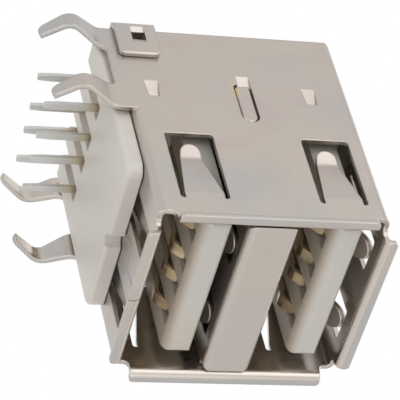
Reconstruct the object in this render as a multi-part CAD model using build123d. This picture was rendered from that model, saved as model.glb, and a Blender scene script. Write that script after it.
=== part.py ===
from build123d import *
import os

# A two-storey board socket: a folded and plated steel shell round two ports, a steel divider
# between them, one white moulding with a tongue in each port, eight stamped contacts and a
# white plate that guides their tails.
#
# Frame: +Z up off the board, the ports open towards -Y, X across. The origin lies on the board,
# in the middle of the front row of tails. Every size is in millimetres. A size that ends in
# _back is measured back from the front of the flanges, and one that ends in _ahead is measured
# forward from the rear ends of the side walls.

# Steel sheet of the shell and the divider
sheet = 0.3
bend_in = 0.2

# Shell
shell_width = 13.2
shell_height = 14.6
shell_depth = 17.5
stand_off = 1.1
tails_ahead = 4.1
floor_ahead = 7.45
flange_reach = 0.55
flange_relief = 1.05
flange_corner = 0.25
relief_depth = 1.0
relief_round = 0.4
rear_corner = 0.45

# Seam in the floor, and the dovetail that locks it: across from the middle, then back
seam = 0.08
seam_front = (0.05, 0.5)
seam_neck = (0.38, 1.9)
seam_key = (0.55, 3.7)
seam_rear = (-0.92, 3.45)

# Ports: the lower one stands on the shell's floor, the upper one hangs from its roof
lower_port_height = 5.3
upper_port_height = 5.55

# Form of every spring finger, as shares of its length
finger_ramp = 0.1
finger_crest = 0.8

# Spring fingers in the side walls, rooted towards the front, above the floor of their port
side_window_back = 2.2
side_window_length = 5.7
side_window_height = 3.1
lower_window_rise = 2.8
upper_window_rise = 3.15
side_finger_root = 2.45
side_finger_tip = 1.3
side_finger_length = 5.05
side_finger_bow = 0.55
side_finger_return = 0.28

# Spring fingers in the floor, the roof and the divider's legs, rooted towards the rear
level_window_back = 1.4
level_window_length = 6.2
level_window_width = 2.45
level_finger_pitch = 6.1
level_finger_width = 1.8
level_finger_gap = 0.2
port_finger_bow = 0.75
tongue_finger_bow = 0.4

# Board locks: kinked legs at the foot of the side walls
wall_low = 0.38
lock_pitch = 5.7
lock_length = 3.75
lock_neck_drop = 1.5
lock_neck_width = 1.2
lock_tip_width = 0.75
lock_tip_round = 0.36
lock_spread_front = 0.65
lock_spread_rear = 0.4
lock_round = 0.8
lock_arch = 0.3
lock_kink_drop = 1.95
lock_kink_out = 1.25
lock_kink_round = 1.0
lock_tip_in = 0.3

# Rear flap, its wings, and the stakes that lock them to the side walls
flap_gap = 0.25
flap_edge = 0.5
wing_gap = 0.05
wing_low = 1.05
wing_height = 2.7
wing_length = 3.2
wing_corner = 0.4
wing_edge_round = 0.12
stake_ahead = 0.82
stake_up_wing = 1.5
stake_height = 0.9
stake_mouth = 1.55
stake_throat = 0.73
stake_slope = 0.12
stake_pocket = 0.9

# Dimples pressed in to bite on the moulding: flush at the rear end, deepest at the front
dimple_ahead = 6.25
dimple_length = 1.45
dimple_rear_height = 0.95
dimple_front_height = 0.65
dimple_depth = 0.25
lower_dimple_up = 1.6
upper_dimple_down = 2.68

# Slots that hold the divider, with a ramp pressed into the wall behind them
slot_ahead = 6.46
slot_length = 3.52
slot_height = 1.18
slot_down = 1.19
slot_corner = 0.3
ramp_length = 0.75
ramp_height = 0.85
ramp_depth = 0.2

# Divider
divider_front_back = 0.2
divider_ahead = 3.6
divider_clear = 0.08
divider_corner = 0.55
boss_clear = 0.08
boss_inset = 0.05
boss_bevel = 0.1

# Moulding
block_ahead = 7.1
fit_gap = 0.05
tongue_side_gap = 0.75
tongue_thick = 1.8
tongue_back = 1.1
lower_tongue_up = 2.75
upper_tongue_up = 2.6
tongue_lead = 0.85
tongue_edge = 0.25
tongue_round = 0.35

# Contacts
contact_thick = 0.25
contact_width = 0.8
contact_pitch_inner = 2.0
contact_pitch_outer = 2.5
contact_slope_back = 6.5
contact_peak_back = 3.95
contact_tip_back = 3.2
contact_tip_rise = 0.45
contact_drop = 0.3
contact_sink = 0.5
contact_bend = 0.35
contact_shoulder = 1.2
groove_width = 1.05
groove_depth = 0.65
groove_back = 1.95
tail_width = 0.5
tail_tip_width = 0.38
tail_taper = 0.9
tail_length = 3.35
row_pitch = 2.7

# Tail guide
guide_front_ahead = 12.5
guide_rear_ahead = 0.2
guide_side_gap = 0.3
guide_corner = 0.8
guide_round = 0.3
guide_slot_width = 1.15
guide_slot_ahead = 4.8
guide_slot_depth = 0.5
guide_hole_gap = 0.1
guide_notch = 0.5

# Places across, from the middle
half = shell_width / 2
inner_half = half - sheet
wing_out = half + wing_gap + sheet
divider_half = inner_half - divider_clear
tongue_half = inner_half - tongue_side_gap
guide_half = inner_half - guide_side_gap
contact_places = [
    side * (contact_pitch_inner / 2 + step * contact_pitch_outer)
    for side, step in ((-1, 1), (-1, 0), (1, 0), (1, 1))
]

# Places along Y
wall_rear = tails_ahead
front = wall_rear - shell_depth
floor_rear = wall_rear - floor_ahead
flap_out = wall_rear + flap_gap + sheet
divider_face = front + divider_front_back
divider_rear = wall_rear - divider_ahead
block_front = wall_rear - block_ahead
block_rear = wall_rear + flap_gap - fit_gap
slot_middle = wall_rear - slot_ahead
dimple_front = wall_rear - dimple_ahead
stake_middle = wall_rear - stake_ahead
guide_front = wall_rear - guide_front_ahead
guide_rear = wall_rear - guide_rear_ahead

# Heights, each pair for the lower port and then the upper one
floor_low = stand_off
floor_top = floor_low + sheet
roof_top = floor_low + shell_height
roof_low = roof_top - sheet
shell_middle = floor_low + shell_height / 2
divider_low = floor_top + lower_port_height
divider_top = roof_low - upper_port_height
divider_height = divider_top - divider_low
slot_rise = divider_top - slot_down
cheek_low = max(slot_rise - slot_height / 2 - 2 * sheet, divider_low)
window_middles = (floor_top + lower_window_rise, divider_top + upper_window_rise)
tongue_lows = (floor_top + lower_tongue_up, divider_top + upper_tongue_up)
dimple_middles = (floor_low + lower_dimple_up, roof_top - upper_dimple_down)
lock_top = floor_top + 2 * sheet
stake_rise = wing_low + stake_up_wing

bend_out = bend_in + sheet
through = 4 * shell_width


def along_x(sketch, low, high):
    """A prism of a sketch drawn in Y and Z, from one X to another."""
    return extrude(Plane.YZ.offset(low) * sketch, amount=high - low)


def along_y(sketch, low, high):
    """A prism of a sketch drawn in X and Z, from one Y to another."""
    return extrude(Plane.XZ.offset(-high) * sketch, amount=high - low)


def along_z(sketch, low, high):
    """A prism of a sketch drawn in X and Y, from one Z to another."""
    return extrude(Plane.XY.offset(low) * sketch, amount=high - low)


def block(x, y, z):
    """A box between the two values given for each direction."""
    corner = Pos(x[0], y[0], z[0])
    return corner * Box(x[1] - x[0], y[1] - y[0], z[1] - z[0], align=Align.MIN)


def rounded(width, height, radius):
    """A rectangle with rounded corners, about its centre."""
    return RectangleRounded(width, height, min(radius, 0.49 * width, 0.49 * height))


def strip(points, radius, side=Side.LEFT, thickness=sheet):
    """The section of a bent strip: one surface as a filleted line, and its thickness to a side."""
    line = FilletPolyline(*points, radius=radius)
    return make_face(offset(line, amount=thickness, side=side))


# Spring fingers. The frame of a finger has x from its root to its tip and z out of the port, and
# the sheet that carries it lies between z = -sheet and z = 0.

def finger_window(length, width):
    """What is cut from the sheet round a finger."""
    sketch = Pos(length / 2, 0) * rounded(length, width, bend_in)
    return along_z(sketch, -2 * sheet, sheet)


def finger(length, root, tip, bow, end):
    """A tapered finger that dips into the port by its bow, and turns out again to its end depth."""
    reach = 3 * sheet
    ramp_start = finger_ramp * length
    section = strip(
        [(-reach, 0), (ramp_start, 0), (finger_crest * length, -bow), (length, -end)],
        radius=[1.5 * sheet, 2.5 * sheet], side=Side.RIGHT,
    )
    body = along_y(section, -root, root)
    shoulder = length - tip / 2
    plan = make_face(Polyline(
        (-reach, root / 2), (ramp_start, root / 2), (shoulder, tip / 2),
        (shoulder, -tip / 2), (ramp_start, -root / 2), (-reach, -root / 2), close=True,
    ))
    plan += Pos(shoulder, 0) * Circle(tip / 2)
    return body & along_z(plan, -through, through)


def with_side_fingers(body):
    """The shell with one window and finger for each port in both side walls."""
    window = finger_window(side_window_length, side_window_height)
    spring = finger(
        side_finger_length, side_finger_root, side_finger_tip, side_finger_bow, side_finger_return)
    places = [
        Plane(
            origin=(side * half, front + side_window_back, middle),
            x_dir=(0, 1, 0), z_dir=(side, 0, 0),
        )
        for side in (-1, 1) for middle in window_middles
    ]
    for place in places:
        body -= place * window
    for place in places:
        body += place * spring
    return body


def with_level_fingers(body, height, out, bow):
    """A level sheet with two windows and fingers, its outer side at a height, out up or down."""
    window = finger_window(level_window_length, level_window_width)
    spring = finger(level_window_length - level_finger_gap, level_finger_width, level_finger_width, bow, 0)
    root = front + level_window_back + level_window_length
    places = [
        Plane(origin=(side * level_finger_pitch / 2, root, height), x_dir=(0, -1, 0), z_dir=(0, 0, out))
        for side in (-1, 1)
    ]
    for place in places:
        body -= place * window
    for place in places:
        body += place * spring
    return body


# The shell

def closed_section():
    """The tube's section in X and Z, where the floor closes it."""
    outer = rounded(shell_width, shell_height, bend_out)
    inner = rounded(shell_width - 2 * sheet, shell_height - 2 * sheet, bend_in)
    return Pos(0, shell_middle) * (outer - inner)


def open_section():
    """The section behind the floor: the roof and two straight side walls."""
    length = shell_middle - lock_top
    legs = Rectangle(shell_width, length, align=(Align.CENTER, Align.MIN))
    legs -= Rectangle(shell_width - 2 * sheet, length, align=(Align.CENTER, Align.MIN))
    lower_half = Pos(0, shell_middle - through / 2) * Rectangle(through, through)
    return closed_section() - lower_half + Pos(0, lock_top) * legs


def flange(length):
    """A flange bent out of a wall, in a frame with x out of the wall and y back from the port."""
    section = strip([(-sheet, 2 * bend_out), (-sheet, 0), (flange_reach, 0)], radius=bend_out)
    body = extrude(section, amount=length / 2, both=True)
    corners = body.edges().filter_by(Axis.Y).group_by(Axis.X)[-1]
    return fillet(corners, flange_corner)


def flanges():
    """The four flanges, each between the corner reliefs at the ends of its wall."""
    across = flange(shell_width - 2 * flange_relief)
    upright = flange(shell_height - 2 * flange_relief)
    roof = Plane(origin=(0, front, roof_top), x_dir=(0, 0, 1), z_dir=(-1, 0, 0)) * across
    floor = Plane(origin=(0, front, floor_low), x_dir=(0, 0, -1), z_dir=(1, 0, 0)) * across
    right = Plane(origin=(half, front, shell_middle), x_dir=(1, 0, 0), z_dir=(0, 0, 1)) * upright
    left = Plane(origin=(-half, front, shell_middle), x_dir=(-1, 0, 0), z_dir=(0, 0, -1)) * upright
    return roof, floor, right, left


def corner_reliefs():
    """What is cut from the front corners, so that each wall can bend by itself."""
    size = 2 * relief_depth
    tall = 2 * flange_relief
    for side in (-1, 1):
        for height in (floor_low, roof_top):
            notch = Pos(front, height) * rounded(size, tall, relief_round)
            near, far = sorted((side * (half - bend_out), side * (half + sheet)))
            yield along_x(notch, near, far)
        notch = Pos(side * half, front) * rounded(tall, size, relief_round)
        yield along_z(notch, floor_low - sheet, floor_low + bend_out)
        yield along_z(notch, roof_top - bend_out, roof_top + sheet)


def lock_outline():
    """The foot of a side wall in Y and Z: two board locks and the arch between them."""
    front_leg = wall_rear - lock_pitch
    rear_leg = wall_rear
    points = [(floor_rear, lock_top), (floor_rear, wall_low)]
    radii = [0, lock_round]
    for rear in (front_leg, rear_leg):
        points += [
            (rear - lock_neck_width, -lock_neck_drop), (rear - lock_tip_width, -lock_length),
            (rear, -lock_length),
        ]
        radii += [lock_round, lock_tip_round, lock_tip_round]
        if rear == front_leg:
            points += [
                (rear, -lock_neck_drop), (rear + lock_spread_rear, wall_low),
                (rear_leg - lock_neck_width - lock_spread_front, wall_low),
            ]
            radii += [lock_round, lock_arch, lock_arch]
    points.append((rear_leg, lock_top))
    radii.append(0)
    return make_face(FilletPolyline(*points, radius=radii, close=True))


def lock_wall():
    """The foot of the wall on the +X side, with its two kinked legs."""
    section = strip(
        [(half, lock_top), (half, 0),
         (half + lock_kink_out, -lock_kink_drop), (half - lock_tip_in, -lock_length)],
        radius=lock_kink_round, side=Side.RIGHT,
    )
    return along_y(section, floor_rear, wall_rear) & along_x(lock_outline(), 0, through)


def rear_flap():
    """The roof's rear end, folded down behind the side walls."""
    section = strip(
        [(flap_out - 2 * bend_out, roof_top), (flap_out, roof_top), (flap_out, wing_low)],
        radius=bend_out, side=Side.RIGHT,
    )
    return along_x(section, -half + flap_edge, half - flap_edge)


def wing():
    """The wing on the +X side, wrapped round the wall's rear edge, with its front edge eased."""
    section = strip(
        [(half - flap_edge - sheet, flap_out), (wing_out, flap_out), (wing_out, flap_out - wing_length)],
        radius=bend_out, side=Side.RIGHT,
    )
    body = along_z(section, wing_low, wing_low + wing_height)
    outer_edge = body.edges().filter_by(Axis.Z).group_by(Axis.Y)[0].sort_by(Axis.X)[-1]
    body = fillet(outer_edge, wing_edge_round)
    length = wing_length + 2 * bend_out
    outline = rounded(length, wing_height, wing_corner)
    place = Pos(flap_out - wing_length + length / 2, wing_low + wing_height / 2)
    return body & along_x(place * outline, 0, through)


def stake_metal():
    """The metal that the stake's punch turns from the wing down into the wall on the +X side."""
    return block(
        (inner_half, wing_out), (stake_middle - stake_mouth / 2, stake_middle + stake_mouth / 2),
        (stake_rise - stake_height / 2, stake_rise + stake_height / 2))


def stake_hole():
    """What the punch leaves open: a hole with a short slope in front and behind."""
    mouth = stake_mouth / 2
    throat = stake_throat / 2
    section = make_face(Polyline(
        (wing_out, stake_middle - mouth), (wing_out - stake_slope, stake_middle - throat),
        (inner_half - sheet, stake_middle - throat), (inner_half - sheet, stake_middle + throat),
        (wing_out - stake_slope, stake_middle + throat), (wing_out, stake_middle + mouth), close=True,
    ))
    return along_z(section, stake_rise - stake_height / 2, stake_rise + stake_height / 2)


def dimple(side, middle, surface, gap=0.0):
    """The wedge by which a dimple moves a surface of the wall, or a larger one round it."""
    near = dimple_front - gap
    far = dimple_front + dimple_length + gap
    depth = dimple_depth + gap
    rear_reach = dimple_rear_height / 2 + gap
    front_reach = dimple_front_height / 2 + gap
    plan = make_face(Polyline(
        (side * surface, far), (side * surface, near), (side * (surface - depth), near), close=True))
    outline = make_face(Polyline(
        (near, middle - front_reach), (far, middle - rear_reach),
        (far, middle + rear_reach), (near, middle + front_reach), close=True))
    return along_z(plan, 0, roof_top) & along_x(outline, -half, half)


def slot_outline(clear=0.0):
    """The slot in Y and Z, round at the front and nearly square at the rear, or less a gap."""
    length = slot_length - 2 * clear
    height = slot_height - 2 * clear
    outline = SlotOverall(length, height) + Pos(length / 4, 0) * rounded(length / 2, height, slot_corner)
    return Pos(slot_middle, slot_rise) * outline


def slot_ramp(side):
    """The ramp pressed into the wall behind the slot."""
    rear = slot_middle + slot_length / 2
    section = make_face(Polyline(
        (side * half, rear - slot_corner), (side * half, rear + ramp_length),
        (side * (half - ramp_depth), rear), (side * (half - ramp_depth), rear - slot_corner), close=True))
    high = slot_rise + slot_height / 2
    return along_z(section, high - ramp_height, high)


def dovetail_seam():
    """The gap where the floor's two halves meet, with a dovetail that locks them."""
    corners = [(across, front + back) for across, back in (seam_front, seam_neck, seam_key, seam_rear)]
    line = Polyline((seam_front[0], front - sheet), *corners, (seam_rear[0], floor_rear + sheet))
    return along_z(trace(line, seam), floor_low - flange_reach - sheet, floor_top + sheet)


def outer_shell():
    """One folded sheet: the tube, its flanges and fingers, the flap with its wings, and the locks."""
    body = along_y(closed_section(), front + bend_out, floor_rear)
    body += along_y(open_section(), floor_rear, wall_rear)
    for relief in corner_reliefs():
        body -= relief
    for piece in flanges():
        body += piece
    body = with_side_fingers(body)
    body = with_level_fingers(body, floor_low, -1, port_finger_bow)
    body = with_level_fingers(body, roof_top, 1, port_finger_bow)
    body -= dovetail_seam()
    corner = Rectangle(rear_corner, rear_corner, align=Align.MAX)
    corner -= Pos(-rear_corner, -rear_corner) * Circle(rear_corner)
    corner = Pos(wall_rear, roof_top) * corner
    body -= along_x(corner, -half, -half + flap_edge)
    body -= along_x(corner, half - flap_edge, half)
    for side in (-1, 1):
        for middle in dimple_middles:
            body += dimple(side, middle, inner_half)
            body -= dimple(side, middle, half)
        near, far = sorted((side * (inner_half - sheet), side * (half + sheet)))
        body -= along_x(slot_outline(), near, far)
        body -= slot_ramp(side)
    body += rear_flap()
    for piece in (lock_wall(), wing(), stake_metal()):
        body = body + piece + mirror(piece, about=Plane.YZ)
    hole = stake_hole()
    return body - hole - mirror(hole, about=Plane.YZ)


# The divider

def divider_cheek():
    """A cheek folded down from the upper leg on the +X side, with the boss that fills the slot."""
    section = strip(
        [(divider_half - 2 * bend_out, divider_top), (divider_half, divider_top), (divider_half, cheek_low)],
        radius=bend_out, side=Side.RIGHT,
    )
    reach = slot_length / 2 + sheet
    cheek = along_y(section, slot_middle - reach, slot_middle + reach)
    boss = along_x(slot_outline(boss_clear), divider_half - sheet, half - boss_inset)
    boss = chamfer(boss.faces().sort_by(Axis.X)[-1].outer_wire().edges(), boss_bevel)
    hollow = along_x(
        slot_outline(boss_clear + sheet / 2), divider_half - 2 * sheet, half - boss_inset - sheet)
    return cheek + boss - hollow


def port_divider():
    """A U of sheet, its bend towards the front, with two fingers in each leg and two cheeks."""
    middle = (divider_low + divider_top) / 2
    section = strip(
        [(divider_rear, divider_low), (divider_face, divider_low),
         (divider_face, divider_top), (divider_rear, divider_top)],
        radius=bend_out, side=Side.RIGHT,
    )
    body = along_x(section, -divider_half, divider_half)
    outline = rounded(2 * divider_half, divider_height, divider_corner)
    corners = Pos(0, middle) * (Rectangle(through, divider_height + 2 * sheet) - outline)
    body -= along_y(corners, divider_face - sheet, divider_face + 2 * sheet)
    body = with_level_fingers(body, divider_low + sheet, 1, tongue_finger_bow)
    body = with_level_fingers(body, divider_top - sheet, -1, port_finger_bow)
    cheek = divider_cheek()
    return body + cheek + mirror(cheek, about=Plane.YZ)


# The contacts: the lower port's go to the front row of tails, the upper port's to the rear row

def contact_section(storey, gap=0.0):
    """A contact seen from the side, in Y and Z, or the channel round it with a gap all round."""
    tongue_low = tongue_lows[storey]
    back = storey * row_pitch + contact_thick / 2 + gap
    top = tongue_low + contact_sink + gap
    points = [
        (back, -tail_length), (back, top), (front + contact_slope_back, top),
        (front + contact_peak_back, tongue_low - contact_drop + gap),
        (front + contact_tip_back, tongue_low + contact_tip_rise),
    ]
    radii = [contact_bend + contact_thick + gap, contact_bend, contact_bend]
    return strip(points, radii, thickness=contact_thick + 2 * gap)


def contact(place, storey):
    """A contact at its place across: a beam in the tongue's groove, and a narrow tapered tail."""
    section = contact_section(storey)
    body = along_x(section, place - tail_width / 2, place + tail_width / 2)
    beam = along_x(section, place - contact_width / 2, place + contact_width / 2)
    shoulder = block_front + contact_shoulder
    body += beam & block((-through, through), (front, shoulder), (0, roof_top))
    slope = (tail_width - tail_tip_width) / 2
    for side in (-1, 1):
        edge = place + side * tail_width / 2
        wedge = make_face(Polyline(
            (edge, tail_taper - tail_length),
            (edge - side * slope, -tail_length), (edge + side * slope, -tail_length), close=True,
        ))
        body -= along_y(wedge, front, wall_rear)
    return body


# The moulding

def tongue(storey):
    """The tongue of one port, its nose rounded, with a groove for each contact."""
    low = tongue_lows[storey]
    high = low + tongue_thick
    nose = front + tongue_back
    root = block_front + sheet
    profile = make_face(FilletPolyline(
        (nose, low), (root, low), (root, high), (nose, high),
        radius=[tongue_lead, 0, 0, tongue_edge], close=True,
    ))
    plan = make_face(FilletPolyline(
        (-tongue_half, root), (-tongue_half, nose), (tongue_half, nose), (tongue_half, root),
        radius=[0, tongue_round, tongue_round, 0], close=True,
    ))
    body = along_x(profile, -half, half) & along_z(plan, 0, roof_top)
    for place in contact_places:
        body -= block(
            (place - groove_width / 2, place + groove_width / 2),
            (front + groove_back, block_front), (low - sheet, low + groove_depth))
    return body


def insulator():
    """The block at the rear of the shell, its two tongues, and the channels of the contacts."""
    width = inner_half - fit_gap
    body = block((-width, width), (block_front, block_rear), (floor_low, roof_low - fit_gap))
    upper = body.faces().sort_by(Axis.Z)[-1].edges().sort_by(Axis.Y)[1:]
    body = fillet(upper, bend_in + fit_gap)
    body -= block(
        (-half, half), (front, divider_rear + fit_gap), (divider_low - fit_gap, divider_top + fit_gap))
    pocket = block(
        (inner_half - stake_pocket, half), (stake_middle - stake_throat / 2, stake_middle + stake_throat / 2),
        (stake_rise - stake_height / 2, stake_rise + stake_height / 2))
    body = body - pocket - mirror(pocket, about=Plane.YZ)
    for side in (-1, 1):
        for middle in dimple_middles:
            body -= dimple(side, middle, inner_half, fit_gap)
    for storey in (0, 1):
        body += tongue(storey)
    inside = block((-half, half), (block_front, flap_out), (0, roof_top))
    shoulder = block((-half, half), (block_front, block_front + contact_shoulder + fit_gap), (0, roof_top))
    tail = tail_width / 2 + fit_gap
    beam = contact_width / 2 + fit_gap
    for storey, low in enumerate(tongue_lows):
        channel = contact_section(storey, fit_gap)
        for place in contact_places:
            body -= along_x(channel, place - tail, place + tail) & inside
            body -= along_x(channel, place - beam, place + beam) & shoulder
            body -= block(
                (place - tail, place + tail), (storey * row_pitch, flap_out),
                (0, low + contact_sink - contact_bend))
    return body


# The tail guide

def tail_guide():
    """The plate under the shell, with a hole for each tail and a slot for each column of them."""
    high = floor_low - fit_gap
    body = block((-guide_half, guide_half), (guide_front, guide_rear), (0, high))
    fronts = body.edges().filter_by(Axis.Z).group_by(Axis.Y)[0]
    body = fillet(fronts, guide_corner)
    rim = body.faces().sort_by(Axis.Z)[0].outer_wire().edges()
    body = fillet([edge for edge in rim if edge.center().Y < guide_rear - sheet], guide_round)
    body -= along_z(Pos(0, guide_front) * Circle(guide_notch), -sheet, high + sheet)
    for place in contact_places:
        body -= block(
            (place - guide_slot_width / 2, place + guide_slot_width / 2),
            (wall_rear - guide_slot_ahead, wall_rear), (-sheet, guide_slot_depth))
        for storey in (0, 1):
            hole = Pos(place, storey * row_pitch) * Rectangle(
                tail_width + 2 * guide_hole_gap, contact_thick + 2 * guide_hole_gap)
            body -= along_z(hole, 0, high + sheet)
    return body


pieces = {
    "outer_shell": outer_shell(),
    "port_divider": port_divider(),
    "insulator": insulator(),
    "tail_guide": tail_guide(),
}
for storey, level in enumerate(("lower", "upper")):
    for number, place in enumerate(contact_places, start=1):
        pieces[f"contact_{level}_{number}"] = contact(place, storey)

os.makedirs("parts", exist_ok=True)
for name, piece in pieces.items():
    export_step(piece, f"parts/{name}.step")
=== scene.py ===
"""The looks of a two-storey board socket: plated steel, white mouldings, gold and tin contacts."""

import bpy
from mathutils import Matrix, Vector


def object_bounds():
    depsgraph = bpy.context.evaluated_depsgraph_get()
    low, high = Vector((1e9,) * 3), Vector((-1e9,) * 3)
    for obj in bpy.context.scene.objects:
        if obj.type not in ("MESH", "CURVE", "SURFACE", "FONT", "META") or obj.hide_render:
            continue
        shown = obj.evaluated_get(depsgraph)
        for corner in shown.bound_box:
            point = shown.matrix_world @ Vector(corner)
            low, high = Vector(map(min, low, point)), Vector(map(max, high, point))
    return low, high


bl_info = {
    "name": "Two-Storey Board Socket",
    "version": (1, 0, 0),
    "blender": (4, 5, 0),
    "location": "View3D > Sidebar > Socket",
    "description": "Finishes the pieces of a board socket and sets up its studio",
    "category": "Object",
}

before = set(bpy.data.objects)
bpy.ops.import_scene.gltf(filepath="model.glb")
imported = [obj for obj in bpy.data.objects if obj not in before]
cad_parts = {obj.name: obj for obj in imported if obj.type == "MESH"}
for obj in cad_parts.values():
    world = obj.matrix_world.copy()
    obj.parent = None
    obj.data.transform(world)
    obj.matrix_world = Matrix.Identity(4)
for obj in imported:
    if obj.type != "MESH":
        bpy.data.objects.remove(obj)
CAD_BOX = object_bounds()

MM = 0.001
MIDDLE = Vector((0.0, -4.0, 7.0)) * MM
CONTACTS = [f"contact_{level}_{number}" for level in ("lower", "upper") for number in (1, 2, 3, 4)]

# The tube's middle, and the axes across the tube. A side faces into the tube where its normal,
# times the way out from here, is below this range of distances.
TUBE_MIDDLE = (0.0, 0.0, 8.4 * MM)
ACROSS_TUBE = (1.0, 0.0, 1.0)
INWARD_RANGE = (-2.5 * MM, -1.5 * MM)

# A side faces the board where the Z of its normal is below this range
DOWNWARD_RANGE = (-0.9, -0.4)

# The range of the noise, from 0 to 1, over which each tint comes in, and how the gloss follows it
COOL_RANGE = (0.42, 0.62)
BLUSH_RANGE = (0.45, 0.8)
WARM_RANGE = (0.5, 0.9)
GLOSS_RANGE = (0.3, 0.7)
GLOSS_CHANGE = (-0.04, 0.06)
RED_GOES_FURTHEST = (1.0, 0.9, 0.75)

# A yellow stain on the -X wall beside the divider's slot, and how it fades with the way from its
# middle, which counts for less along Y
STAIN_MIDDLE = (-6.6 * MM, -1.15 * MM, 8.12 * MM)
STAIN_WEIGHTS = (1.0, 0.4, 1.0)
STAIN_RANGE = (0.1 * MM, 0.42 * MM)

# Rays that look for the softened edges at each point
BEVEL_SAMPLES = 6

# Rolling lines run along Y on the shell and along X on the divider
SHELL_GRAIN = (1.0, 0.02, 1.0)
DIVIDER_GRAIN = (0.02, 1.0, 1.0)

# Where the photograph was taken from, in the frame of the part, and the picture's axes there
CAMERA_PLACE = Vector((-102.224, -114.729, -40.835)) * MM
CAMERA_RIGHT = Vector((-0.2381, -0.1907, 0.9523))
CAMERA_DOWN = Vector((0.7239, -0.6886, 0.0431))
CAMERA_FORWARD = Vector((0.6475, 0.6996, 0.3021))
CAMERA_LENS = 225.05
CAMERA_SENSOR = 36.0
CAMERA_NEAR = 1.0 * MM

# Each lamp: its direction from the socket, its width and height in metres, its share of the light
LAMPS = {
    "side_lamp": ((-0.92, -0.10, 0.34), 0.48, 0.16, 0.65),
    "top_lamp": ((0.2, 0.15, 1.0), 0.34, 0.34, 1.2),
    "front_lamp": ((0.05, -0.95, -0.2), 0.3, 0.3, 0.65),
    "under_lamp": ((-0.5, -0.1, -0.85), 0.25, 0.25, 0.6),
}


# Settings

class SteelFinish(bpy.types.PropertyGroup):
    """Nickel plating on folded sheet."""
    colour: bpy.props.FloatVectorProperty(
        name="Plating Colour", description="Colour of the clean plating", subtype="COLOR",
        size=3, min=0.0, max=1.0, default=(0.480, 0.430, 0.385))
    cool: bpy.props.FloatVectorProperty(
        name="Cool Tint", description="Colour where the plating looks bluer", subtype="COLOR",
        size=3, min=0.0, max=1.0, default=(0.425, 0.412, 0.400))
    blush: bpy.props.FloatVectorProperty(
        name="Pink Tint", description="Colour where the plating looks pinker", subtype="COLOR",
        size=3, min=0.0, max=1.0, default=(0.440, 0.385, 0.355))
    # Painted light: the sides that face into the ports take this lighter colour in place of the
    # plating, for how they are lit
    inside: bpy.props.FloatVectorProperty(
        name="Inside Colour", description="Colour of the dull sides that face into the ports",
        subtype="COLOR", size=3, min=0.0, max=1.0, default=(0.525, 0.475, 0.425))
    stain: bpy.props.FloatVectorProperty(
        name="Stain Colour", description="Colour of the stain beside the divider's slot",
        subtype="COLOR", size=3, min=0.0, max=1.0, default=(0.54, 0.44, 0.29))
    shell_cool: bpy.props.FloatProperty(
        name="Shell Cool Share", description="How strongly the cool tint shows on the shell",
        subtype="FACTOR", min=0.0, max=1.0, default=1.0)
    divider_cool: bpy.props.FloatProperty(
        name="Divider Cool Share", description="How strongly the cool tint shows on the divider",
        subtype="FACTOR", min=0.0, max=1.0, default=0.2)
    roughness: bpy.props.FloatProperty(
        name="Roughness", description="How dull the rolled sheet is", subtype="FACTOR",
        min=0.0, max=1.0, default=0.29)
    cloud: bpy.props.FloatProperty(
        name="Cloud Size", description="Size of the broad cool clouds", subtype="DISTANCE",
        min=0.0001, default=0.011, precision=4)
    blotch: bpy.props.FloatProperty(
        name="Blotch Size", description="Size of the pink and dull blotches", subtype="DISTANCE",
        min=0.0001, default=0.0038, precision=5)
    grain: bpy.props.FloatProperty(
        name="Rolling Grain", description="Spacing of the rolling lines", subtype="DISTANCE",
        min=0.00001, default=0.00012, precision=5)
    grain_height: bpy.props.FloatProperty(
        name="Grain Height", description="Height of the rolling lines", subtype="DISTANCE",
        min=0.0, default=0.000001, precision=7)
    edge: bpy.props.FloatProperty(
        name="Edge Radius", description="Radius that the sheared edges show", subtype="DISTANCE",
        min=0.0, default=0.00012, precision=6)


class MouldingFinish(bpy.types.PropertyGroup):
    """White nylon."""
    colour: bpy.props.FloatVectorProperty(
        name="Tongue Colour", description="Colour of the moulding with the tongues", subtype="COLOR",
        size=3, min=0.0, max=1.0, default=(0.52, 0.495, 0.455))
    # Painted shade and painted reflection of the gold: the tongues' sides that face the board, beside
    # the contacts, take this darker, browner colour
    contact_side_shade: bpy.props.FloatVectorProperty(
        name="Contact Side Shade", description="Colour of the tongues beside their contacts", subtype="COLOR",
        size=3, min=0.0, max=1.0, default=(0.51, 0.44, 0.36))
    guide_colour: bpy.props.FloatVectorProperty(
        name="Guide Colour", description="Colour of the tail guide", subtype="COLOR",
        size=3, min=0.0, max=1.0, default=(0.615, 0.585, 0.54))
    warm: bpy.props.FloatVectorProperty(
        name="Warm Tint", description="Colour where light and flux have warmed the plastic",
        subtype="COLOR", size=3, min=0.0, max=1.0, default=(0.52, 0.44, 0.32))
    roughness: bpy.props.FloatProperty(
        name="Roughness", description="How dull the moulded skin is", subtype="FACTOR",
        min=0.0, max=1.0, default=0.42)
    glow: bpy.props.FloatProperty(
        name="Glow", description="Share of the light that comes back from inside the plastic",
        subtype="FACTOR", min=0.0, max=1.0, default=0.35)
    depth: bpy.props.FloatProperty(
        name="Light Depth", description="How far light travels inside the plastic", subtype="DISTANCE",
        min=0.0, default=0.0003, precision=5)
    patch: bpy.props.FloatProperty(
        name="Patch Size", description="Size of the warmer patches", subtype="DISTANCE",
        min=0.0001, default=0.006, precision=4)
    skin: bpy.props.FloatProperty(
        name="Skin Grain", description="Size of the grain that the mould leaves", subtype="DISTANCE",
        min=0.00001, default=0.00011, precision=5)
    skin_height: bpy.props.FloatProperty(
        name="Skin Height", description="Height of the mould's grain", subtype="DISTANCE",
        min=0.0, default=0.0000012, precision=7)
    edge: bpy.props.FloatProperty(
        name="Edge Radius", description="Radius that the moulded edges show", subtype="DISTANCE",
        min=0.0, default=0.00008, precision=6)


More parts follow.
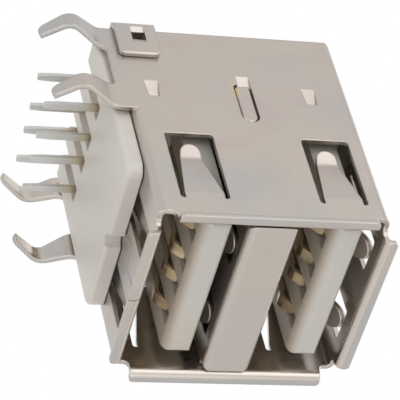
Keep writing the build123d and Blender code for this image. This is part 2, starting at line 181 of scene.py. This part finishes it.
class ContactFinish(bpy.types.PropertyGroup):
    """Gold flash in the port and tin on the tail."""
    gold: bpy.props.FloatVectorProperty(
        name="Gold Colour", description="Colour of the contact's flash", subtype="COLOR",
        size=3, min=0.0, max=1.0, default=(0.73, 0.61, 0.41))
    tin: bpy.props.FloatVectorProperty(
        name="Tin Colour", description="Colour of the tinned tail", subtype="COLOR",
        size=3, min=0.0, max=1.0, default=(0.55, 0.545, 0.525))
    # Flux stain and painted shade: the tail turns browner where it comes out of the guide
    flux: bpy.props.FloatVectorProperty(
        name="Flux and Shade Colour", description="Colour of the tail where it comes out of the guide",
        subtype="COLOR", size=3, min=0.0, max=1.0, default=(0.54, 0.47, 0.35))
    gold_roughness: bpy.props.FloatProperty(
        name="Gold Roughness", description="How dull the flash is", subtype="FACTOR",
        min=0.0, max=1.0, default=0.24)
    tin_roughness: bpy.props.FloatProperty(
        name="Tin Roughness", description="How dull the tin is", subtype="FACTOR",
        min=0.0, max=1.0, default=0.42)
    tin_top: bpy.props.FloatProperty(
        name="Tin Height", description="Height above the board where the tin ends", subtype="DISTANCE",
        default=0.0009, precision=5)
    flux_and_shade_drop: bpy.props.FloatProperty(
        name="Flux and Shade Drop", description="Height above the board where the flux colour begins",
        subtype="DISTANCE", default=-0.0014, precision=5)
    tin_fade: bpy.props.FloatProperty(
        name="Tin Fade", description="Length over which the tin gives way to gold", subtype="DISTANCE",
        min=0.00001, default=0.0004, precision=5)
    ripple: bpy.props.FloatProperty(
        name="Ripple Size", description="Size of the ripples in the plating", subtype="DISTANCE",
        min=0.00001, default=0.0004, precision=5)
    ripple_height: bpy.props.FloatProperty(
        name="Ripple Height", description="Height of the ripples", subtype="DISTANCE",
        min=0.0, default=0.000002, precision=7)
    edge: bpy.props.FloatProperty(
        name="Edge Radius", description="Radius that the stamped edges show", subtype="DISTANCE",
        min=0.0, default=0.00003, precision=6)


class StudioSettings(bpy.types.PropertyGroup):
    """Floor, room and lamps."""
    floor_size: bpy.props.FloatProperty(
        name="Floor Size", description="Side of the square floor", subtype="DISTANCE",
        min=0.0, default=1.2)
    floor_colour: bpy.props.FloatVectorProperty(
        name="Floor Colour", description="Colour of the floor", subtype="COLOR",
        size=3, min=0.0, max=1.0, default=(0.9, 0.9, 0.9))
    room_light: bpy.props.FloatProperty(
        name="Room Light", description="Strength of the room's even light", min=0.0, default=0.57)
    lamp_power: bpy.props.FloatProperty(
        name="Lamp Power", description="Power of a lamp with a share of one", subtype="POWER",
        min=0.0, default=0.4)
    lamp_distance: bpy.props.FloatProperty(
        name="Lamp Distance", description="Distance from the socket to each lamp", subtype="DISTANCE",
        min=0.01, default=0.3)


# Shader helpers

def fresh_material(name):
    """A new material with nodes, and its Principled shader."""
    material = bpy.data.materials.new(name)
    material.use_nodes = True
    shader = material.node_tree.nodes["Principled BSDF"]
    return material, shader


def add_node(tree, kind, **values):
    """A node of that kind, with the given inputs set or linked by their names."""
    node = tree.nodes.new(kind)
    for name, value in values.items():
        set_input(tree, node, name.replace("_", " "), value)
    return node


def set_input(tree, node, name, value):
    """Sets an input to a plain value, or links an output to it."""
    socket = node.inputs[name]
    if isinstance(value, bpy.types.NodeSocket):
        tree.links.new(value, socket)
    elif socket.type == "RGBA":
        socket.default_value = (*value[:3], 1.0)
    else:
        socket.default_value = value


def object_place(tree):
    """The point on the piece, in the part's own frame."""
    return tree.nodes.new("ShaderNodeTexCoord").outputs["Object"]


def stretched(tree, place, scale):
    """A place stretched by a scale for each axis."""
    mapping = tree.nodes.new("ShaderNodeMapping")
    mapping.inputs["Scale"].default_value = scale
    tree.links.new(place, mapping.inputs["Vector"])
    return mapping.outputs["Vector"]


def noise(tree, place, size):
    """Soft noise from 0 to 1, with features of about that size."""
    node = add_node(tree, "ShaderNodeTexNoise", Vector=place, Scale=1.0 / size)
    return node.outputs["Fac"]


def spread(tree, value, from_range, to_range=(0.0, 1.0)):
    """A value from one range carried smoothly to another, held at its ends."""
    node = add_node(tree, "ShaderNodeMapRange", Value=value)
    node.interpolation_type = "SMOOTHSTEP"
    for name, number in zip(("From Min", "From Max", "To Min", "To Max"), (*from_range, *to_range)):
        node.inputs[name].default_value = number
    return node.outputs["Result"]


def vector_math(tree, operation, *vectors):
    """A Vector Math node that puts two vectors together, or measures one."""
    node = tree.nodes.new("ShaderNodeVectorMath")
    node.operation = operation
    for socket, vector in zip(node.inputs, vectors):
        if isinstance(vector, bpy.types.NodeSocket):
            tree.links.new(vector, socket)
        else:
            socket.default_value = vector
    return node


def part_of(tree, vector, axis):
    """One of the three parts of a vector."""
    return add_node(tree, "ShaderNodeSeparateXYZ", Vector=vector).outputs[axis]


def flat_normal(tree):
    """The side's own normal, before any bump or bevel."""
    return tree.nodes.new("ShaderNodeNewGeometry").outputs["True Normal"]


def mixed(tree, factor, first, second):
    """Two colours mixed by a factor."""
    node = tree.nodes.new("ShaderNodeMix")
    node.data_type = "RGBA"
    tree.links.new(factor, node.inputs["Factor"])
    for socket, colour in ((node.inputs["A"], first), (node.inputs["B"], second)):
        if isinstance(colour, bpy.types.NodeSocket):
            tree.links.new(colour, socket)
        else:
            socket.default_value = (*colour[:3], 1.0)
    return node.outputs["Result"]


def bumped(tree, pattern, height, edge):
    """A normal that follows a pattern of some height, over edges softened by a radius."""
    bevel = add_node(tree, "ShaderNodeBevel", Radius=edge)
    bevel.samples = BEVEL_SAMPLES
    soft_edges = bevel.outputs["Normal"]
    bump = add_node(tree, "ShaderNodeBump", Height=pattern, Distance=height, Normal=soft_edges)
    return bump.outputs["Normal"]


def give(node_name, material):
    """Puts a material into every slot of a CAD node."""
    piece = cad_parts[node_name]
    for place in piece.material_slots:
        place.material = material


# Finishes

def faces_inward(tree, place):
    """1 on a side that faces into the tube of the shell, 0 on its outer sides and its ends."""
    way_out = vector_math(tree, "SUBTRACT", place, TUBE_MIDDLE).outputs["Vector"]
    way_out = vector_math(tree, "MULTIPLY", way_out, ACROSS_TUBE).outputs["Vector"]
    facing = vector_math(tree, "DOT_PRODUCT", way_out, flat_normal(tree)).outputs["Value"]
    return spread(tree, facing, INWARD_RANGE, (1.0, 0.0))


def stained(tree, place):
    """1 in the middle of the stain, fading to 0 round it."""
    way = vector_math(tree, "SUBTRACT", place, STAIN_MIDDLE).outputs["Vector"]
    way = vector_math(tree, "MULTIPLY", way, STAIN_WEIGHTS).outputs["Vector"]
    reach = vector_math(tree, "LENGTH", way).outputs["Value"]
    return spread(tree, reach, STAIN_RANGE, (1.0, 0.0))


def faces_board(tree):
    """1 on a side that faces the board, 0 on the others."""
    return spread(tree, part_of(tree, flat_normal(tree), "Z"), DOWNWARD_RANGE, (1.0, 0.0))


def plated_steel(name, steel, cool_share, grain_axes):
    """Nickel-plated sheet: blotchy in colour and gloss, rolled along one axis, with painted light on
    the sides that face into the ports.
    """
    material, shader = fresh_material(name)
    tree = material.node_tree
    place = object_place(tree)
    cloud = noise(tree, place, steel.cloud)
    blotch = noise(tree, place, steel.blotch)
    lines = noise(tree, stretched(tree, place, grain_axes), steel.grain)
    tint = mixed(tree, spread(tree, cloud, COOL_RANGE, (0.0, cool_share)), steel.colour, steel.cool)
    tint = mixed(tree, spread(tree, blotch, BLUSH_RANGE), tint, steel.blush)
    tint = mixed(tree, stained(tree, place), tint, steel.stain)
    # Painted light on the sides that face into the ports
    tint = mixed(tree, faces_inward(tree, place), tint, steel.inside)
    gloss = [steel.roughness + change for change in GLOSS_CHANGE]
    set_input(tree, shader, "Base Color", tint)
    set_input(tree, shader, "Metallic", 1.0)
    set_input(tree, shader, "Roughness", spread(tree, blotch, GLOSS_RANGE, gloss))
    set_input(tree, shader, "Normal", bumped(tree, lines, steel.grain_height, steel.edge))
    return material


def white_nylon(name, colour, board_side_shade, nylon):
    """A white moulding that lets a little light in, with warmer patches and painted shade on its sides
    that face the board.
    """
    material, shader = fresh_material(name)
    tree = material.node_tree
    place = object_place(tree)
    patches = spread(tree, noise(tree, place, nylon.patch), WARM_RANGE)
    tint = mixed(tree, patches, colour, nylon.warm)
    # Painted shade and painted gold reflection on the sides that face the board
    tint = mixed(tree, faces_board(tree), tint, board_side_shade)
    skin = noise(tree, place, nylon.skin)
    set_input(tree, shader, "Base Color", tint)
    set_input(tree, shader, "Roughness", nylon.roughness)
    set_input(tree, shader, "Subsurface Weight", nylon.glow)
    set_input(tree, shader, "Subsurface Scale", nylon.depth)
    set_input(tree, shader, "Subsurface Radius", RED_GOES_FURTHEST)
    set_input(tree, shader, "Normal", bumped(tree, skin, nylon.skin_height, nylon.edge))
    return material


def gold_and_tin(name, finish):
    """A contact strip: gold in the port, dull tin on the tail, browner where it leaves the guide from
    flux and painted shade.
    """
    material, shader = fresh_material(name)
    tree = material.node_tree
    place = object_place(tree)
    fade = (finish.tin_top - finish.tin_fade / 2, finish.tin_top + finish.tin_fade / 2)
    height = part_of(tree, place, "Z")
    on_gold = spread(tree, height, fade)
    # Browner towards the guide: flux stain and painted shade
    tail = mixed(tree, spread(tree, height, (finish.flux_and_shade_drop, 0.0)), finish.tin, finish.flux)
    gloss = (finish.tin_roughness, finish.gold_roughness)
    ripple = noise(tree, place, finish.ripple)
    set_input(tree, shader, "Base Color", mixed(tree, on_gold, tail, finish.gold))
    set_input(tree, shader, "Metallic", 1.0)
    set_input(tree, shader, "Roughness", spread(tree, on_gold, (0.0, 1.0), gloss))
    set_input(tree, shader, "Normal", bumped(tree, ripple, finish.ripple_height, finish.edge))
    return material


class SOCKET_OT_plate_shell(bpy.types.Operator):
    """Plate the folded shell"""
    bl_idname = "socket.plate_shell"
    bl_label = "Plate Shell"

    def execute(self, context):
        steel = context.scene.socket_steel
        give("outer_shell", plated_steel("shell_plating", steel, steel.shell_cool, SHELL_GRAIN))
        return {"FINISHED"}


class SOCKET_OT_plate_divider(bpy.types.Operator):
    """Plate the divider between the ports"""
    bl_idname = "socket.plate_divider"
    bl_label = "Plate Divider"

    def execute(self, context):
        steel = context.scene.socket_steel
        give("port_divider", plated_steel("divider_plating", steel, steel.divider_cool, DIVIDER_GRAIN))
        return {"FINISHED"}


class SOCKET_OT_colour_mouldings(bpy.types.Operator):
    """Give the two mouldings their white nylon"""
    bl_idname = "socket.colour_mouldings"
    bl_label = "Colour Mouldings"

    def execute(self, context):
        nylon = context.scene.socket_moulding
        give("insulator", white_nylon("tongue_nylon", nylon.colour, nylon.contact_side_shade, nylon))
        give("tail_guide", white_nylon("guide_nylon", nylon.guide_colour, nylon.guide_colour, nylon))
        return {"FINISHED"}


class SOCKET_OT_plate_contacts(bpy.types.Operator):
    """Gold-flash the contacts and tin their tails"""
    bl_idname = "socket.plate_contacts"
    bl_label = "Plate Contacts"

    def execute(self, context):
        finish = context.scene.socket_contact
        strip = gold_and_tin("contact_plating", finish)
        for name in CONTACTS:
            give(name, strip)
        return {"FINISHED"}


# Studio

def either(tree, first, second):
    """The larger of two values."""
    node = tree.nodes.new("ShaderNodeMath")
    node.operation = "MAXIMUM"
    tree.links.new(first, node.inputs[0])
    tree.links.new(second, node.inputs[1])
    return node.outputs[0]


def floor_material(colour):
    """A pale floor seen from above only, that metal doesn't mirror and light passes."""
    material = bpy.data.materials.new("studio_floor")
    material.use_nodes = True
    tree = material.node_tree
    tree.nodes.clear()
    out = tree.nodes.new("ShaderNodeOutputMaterial")
    matt = add_node(tree, "ShaderNodeBsdfDiffuse", Color=colour)
    clear = tree.nodes.new("ShaderNodeBsdfTransparent")
    faces = tree.nodes.new("ShaderNodeNewGeometry")
    rays = tree.nodes.new("ShaderNodeLightPath")
    hidden = either(tree, rays.outputs["Is Shadow Ray"], rays.outputs["Is Glossy Ray"])
    hidden = either(tree, hidden, faces.outputs["Backfacing"])
    choice = tree.nodes.new("ShaderNodeMixShader")
    for socket, value in zip(choice.inputs, (hidden, matt.outputs["BSDF"], clear.outputs["BSDF"])):
        tree.links.new(value, socket)
    tree.links.new(choice.outputs["Shader"], out.inputs["Surface"])
    return material


def white_room(strength):
    """A world that looks white and lights the socket evenly at its own strength."""
    world = bpy.data.worlds.new("studio_room")
    world.use_nodes = True
    tree = world.node_tree
    backdrop = tree.nodes["Background"]
    rays = tree.nodes.new("ShaderNodeLightPath")
    seen = either(tree, rays.outputs["Is Camera Ray"], rays.outputs["Is Glossy Ray"])
    seen = either(tree, seen, rays.outputs["Is Transmission Ray"])
    set_input(tree, backdrop, "Color", (1.0, 1.0, 1.0))
    set_input(tree, backdrop, "Strength", spread(tree, seen, (0.0, 1.0), (strength, 1.0)))
    bpy.context.scene.world = world


def add_lamp(name, direction, width, height, distance, power):
    """A soft lamp at a distance in one direction from the middle of the socket, aimed at it."""
    data = bpy.data.lights.new(name, "AREA")
    data.shape = "RECTANGLE"
    data.size = width
    data.size_y = height
    data.energy = power
    lamp = bpy.data.objects.new(name, data)
    toward = Vector(direction).normalized()
    lamp.location = MIDDLE + distance * toward
    lamp.rotation_euler = (-toward).to_track_quat("-Z", "Y").to_euler()
    bpy.context.collection.objects.link(lamp)


def add_camera():
    """The camera of the photograph."""
    data = bpy.data.cameras.new("photo_camera")
    data.lens = CAMERA_LENS
    data.sensor_width = CAMERA_SENSOR
    data.clip_start = CAMERA_NEAR
    camera = bpy.data.objects.new("photo_camera", data)
    turn = Matrix((CAMERA_RIGHT, -CAMERA_DOWN, -CAMERA_FORWARD)).transposed().to_4x4()
    camera.matrix_world = Matrix.Translation(CAMERA_PLACE) @ turn
    bpy.context.collection.objects.link(camera)
    bpy.context.scene.camera = camera


class SOCKET_OT_build_stage(bpy.types.Operator):
    """Add the floor, the room's light, the lamps and the camera"""
    bl_idname = "socket.build_stage"
    bl_label = "Build Stage"

    def execute(self, context):
        studio = context.scene.socket_studio
        low = CAD_BOX[0][2]
        bpy.ops.mesh.primitive_plane_add(size=studio.floor_size, location=(0.0, 0.0, low))
        floor = context.active_object
        floor.name = "floor"
        floor.data.materials.append(floor_material(studio.floor_colour))
        white_room(studio.room_light)
        for name, (direction, width, height, share) in LAMPS.items():
            add_lamp(name, direction, width, height, studio.lamp_distance, share * studio.lamp_power)
        add_camera()
        return {"FINISHED"}


class SOCKET_PT_panel(bpy.types.Panel):
    """The socket's pieces and their settings"""
    bl_label = "Board Socket"
    bl_idname = "SOCKET_PT_panel"
    bl_space_type = "VIEW_3D"
    bl_region_type = "UI"
    bl_category = "Socket"

    def draw(self, context):
        layout = self.layout
        for group in SETTINGS:
            settings = getattr(context.scene, group)
            for name in settings.__annotations__:
                layout.prop(settings, name)
        for operator in OPERATORS:
            layout.operator(operator.bl_idname)


SETTINGS = {
    "socket_steel": SteelFinish,
    "socket_moulding": MouldingFinish,
    "socket_contact": ContactFinish,
    "socket_studio": StudioSettings,
}
OPERATORS = (
    SOCKET_OT_plate_shell,
    SOCKET_OT_plate_divider,
    SOCKET_OT_colour_mouldings,
    SOCKET_OT_plate_contacts,
    SOCKET_OT_build_stage,
)


def register():
    """Adds the settings, the operators and the panel to Blender."""
    for cls in (*SETTINGS.values(), *OPERATORS, SOCKET_PT_panel):
        bpy.utils.register_class(cls)
    for name, group in SETTINGS.items():
        setattr(bpy.types.Scene, name, bpy.props.PointerProperty(type=group))


def unregister():
    """Takes them out again."""
    for name in SETTINGS:
        delattr(bpy.types.Scene, name)
    for cls in reversed((*SETTINGS.values(), *OPERATORS, SOCKET_PT_panel)):
        bpy.utils.unregister_class(cls)


def main():
    """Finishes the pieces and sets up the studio."""
    register()
    bpy.ops.socket.plate_shell()
    bpy.ops.socket.plate_divider()
    bpy.ops.socket.colour_mouldings()
    bpy.ops.socket.plate_contacts()
    bpy.ops.socket.build_stage()
    bpy.context.scene.view_settings.view_transform = "Standard"


if __name__ == "__main__":
    main()
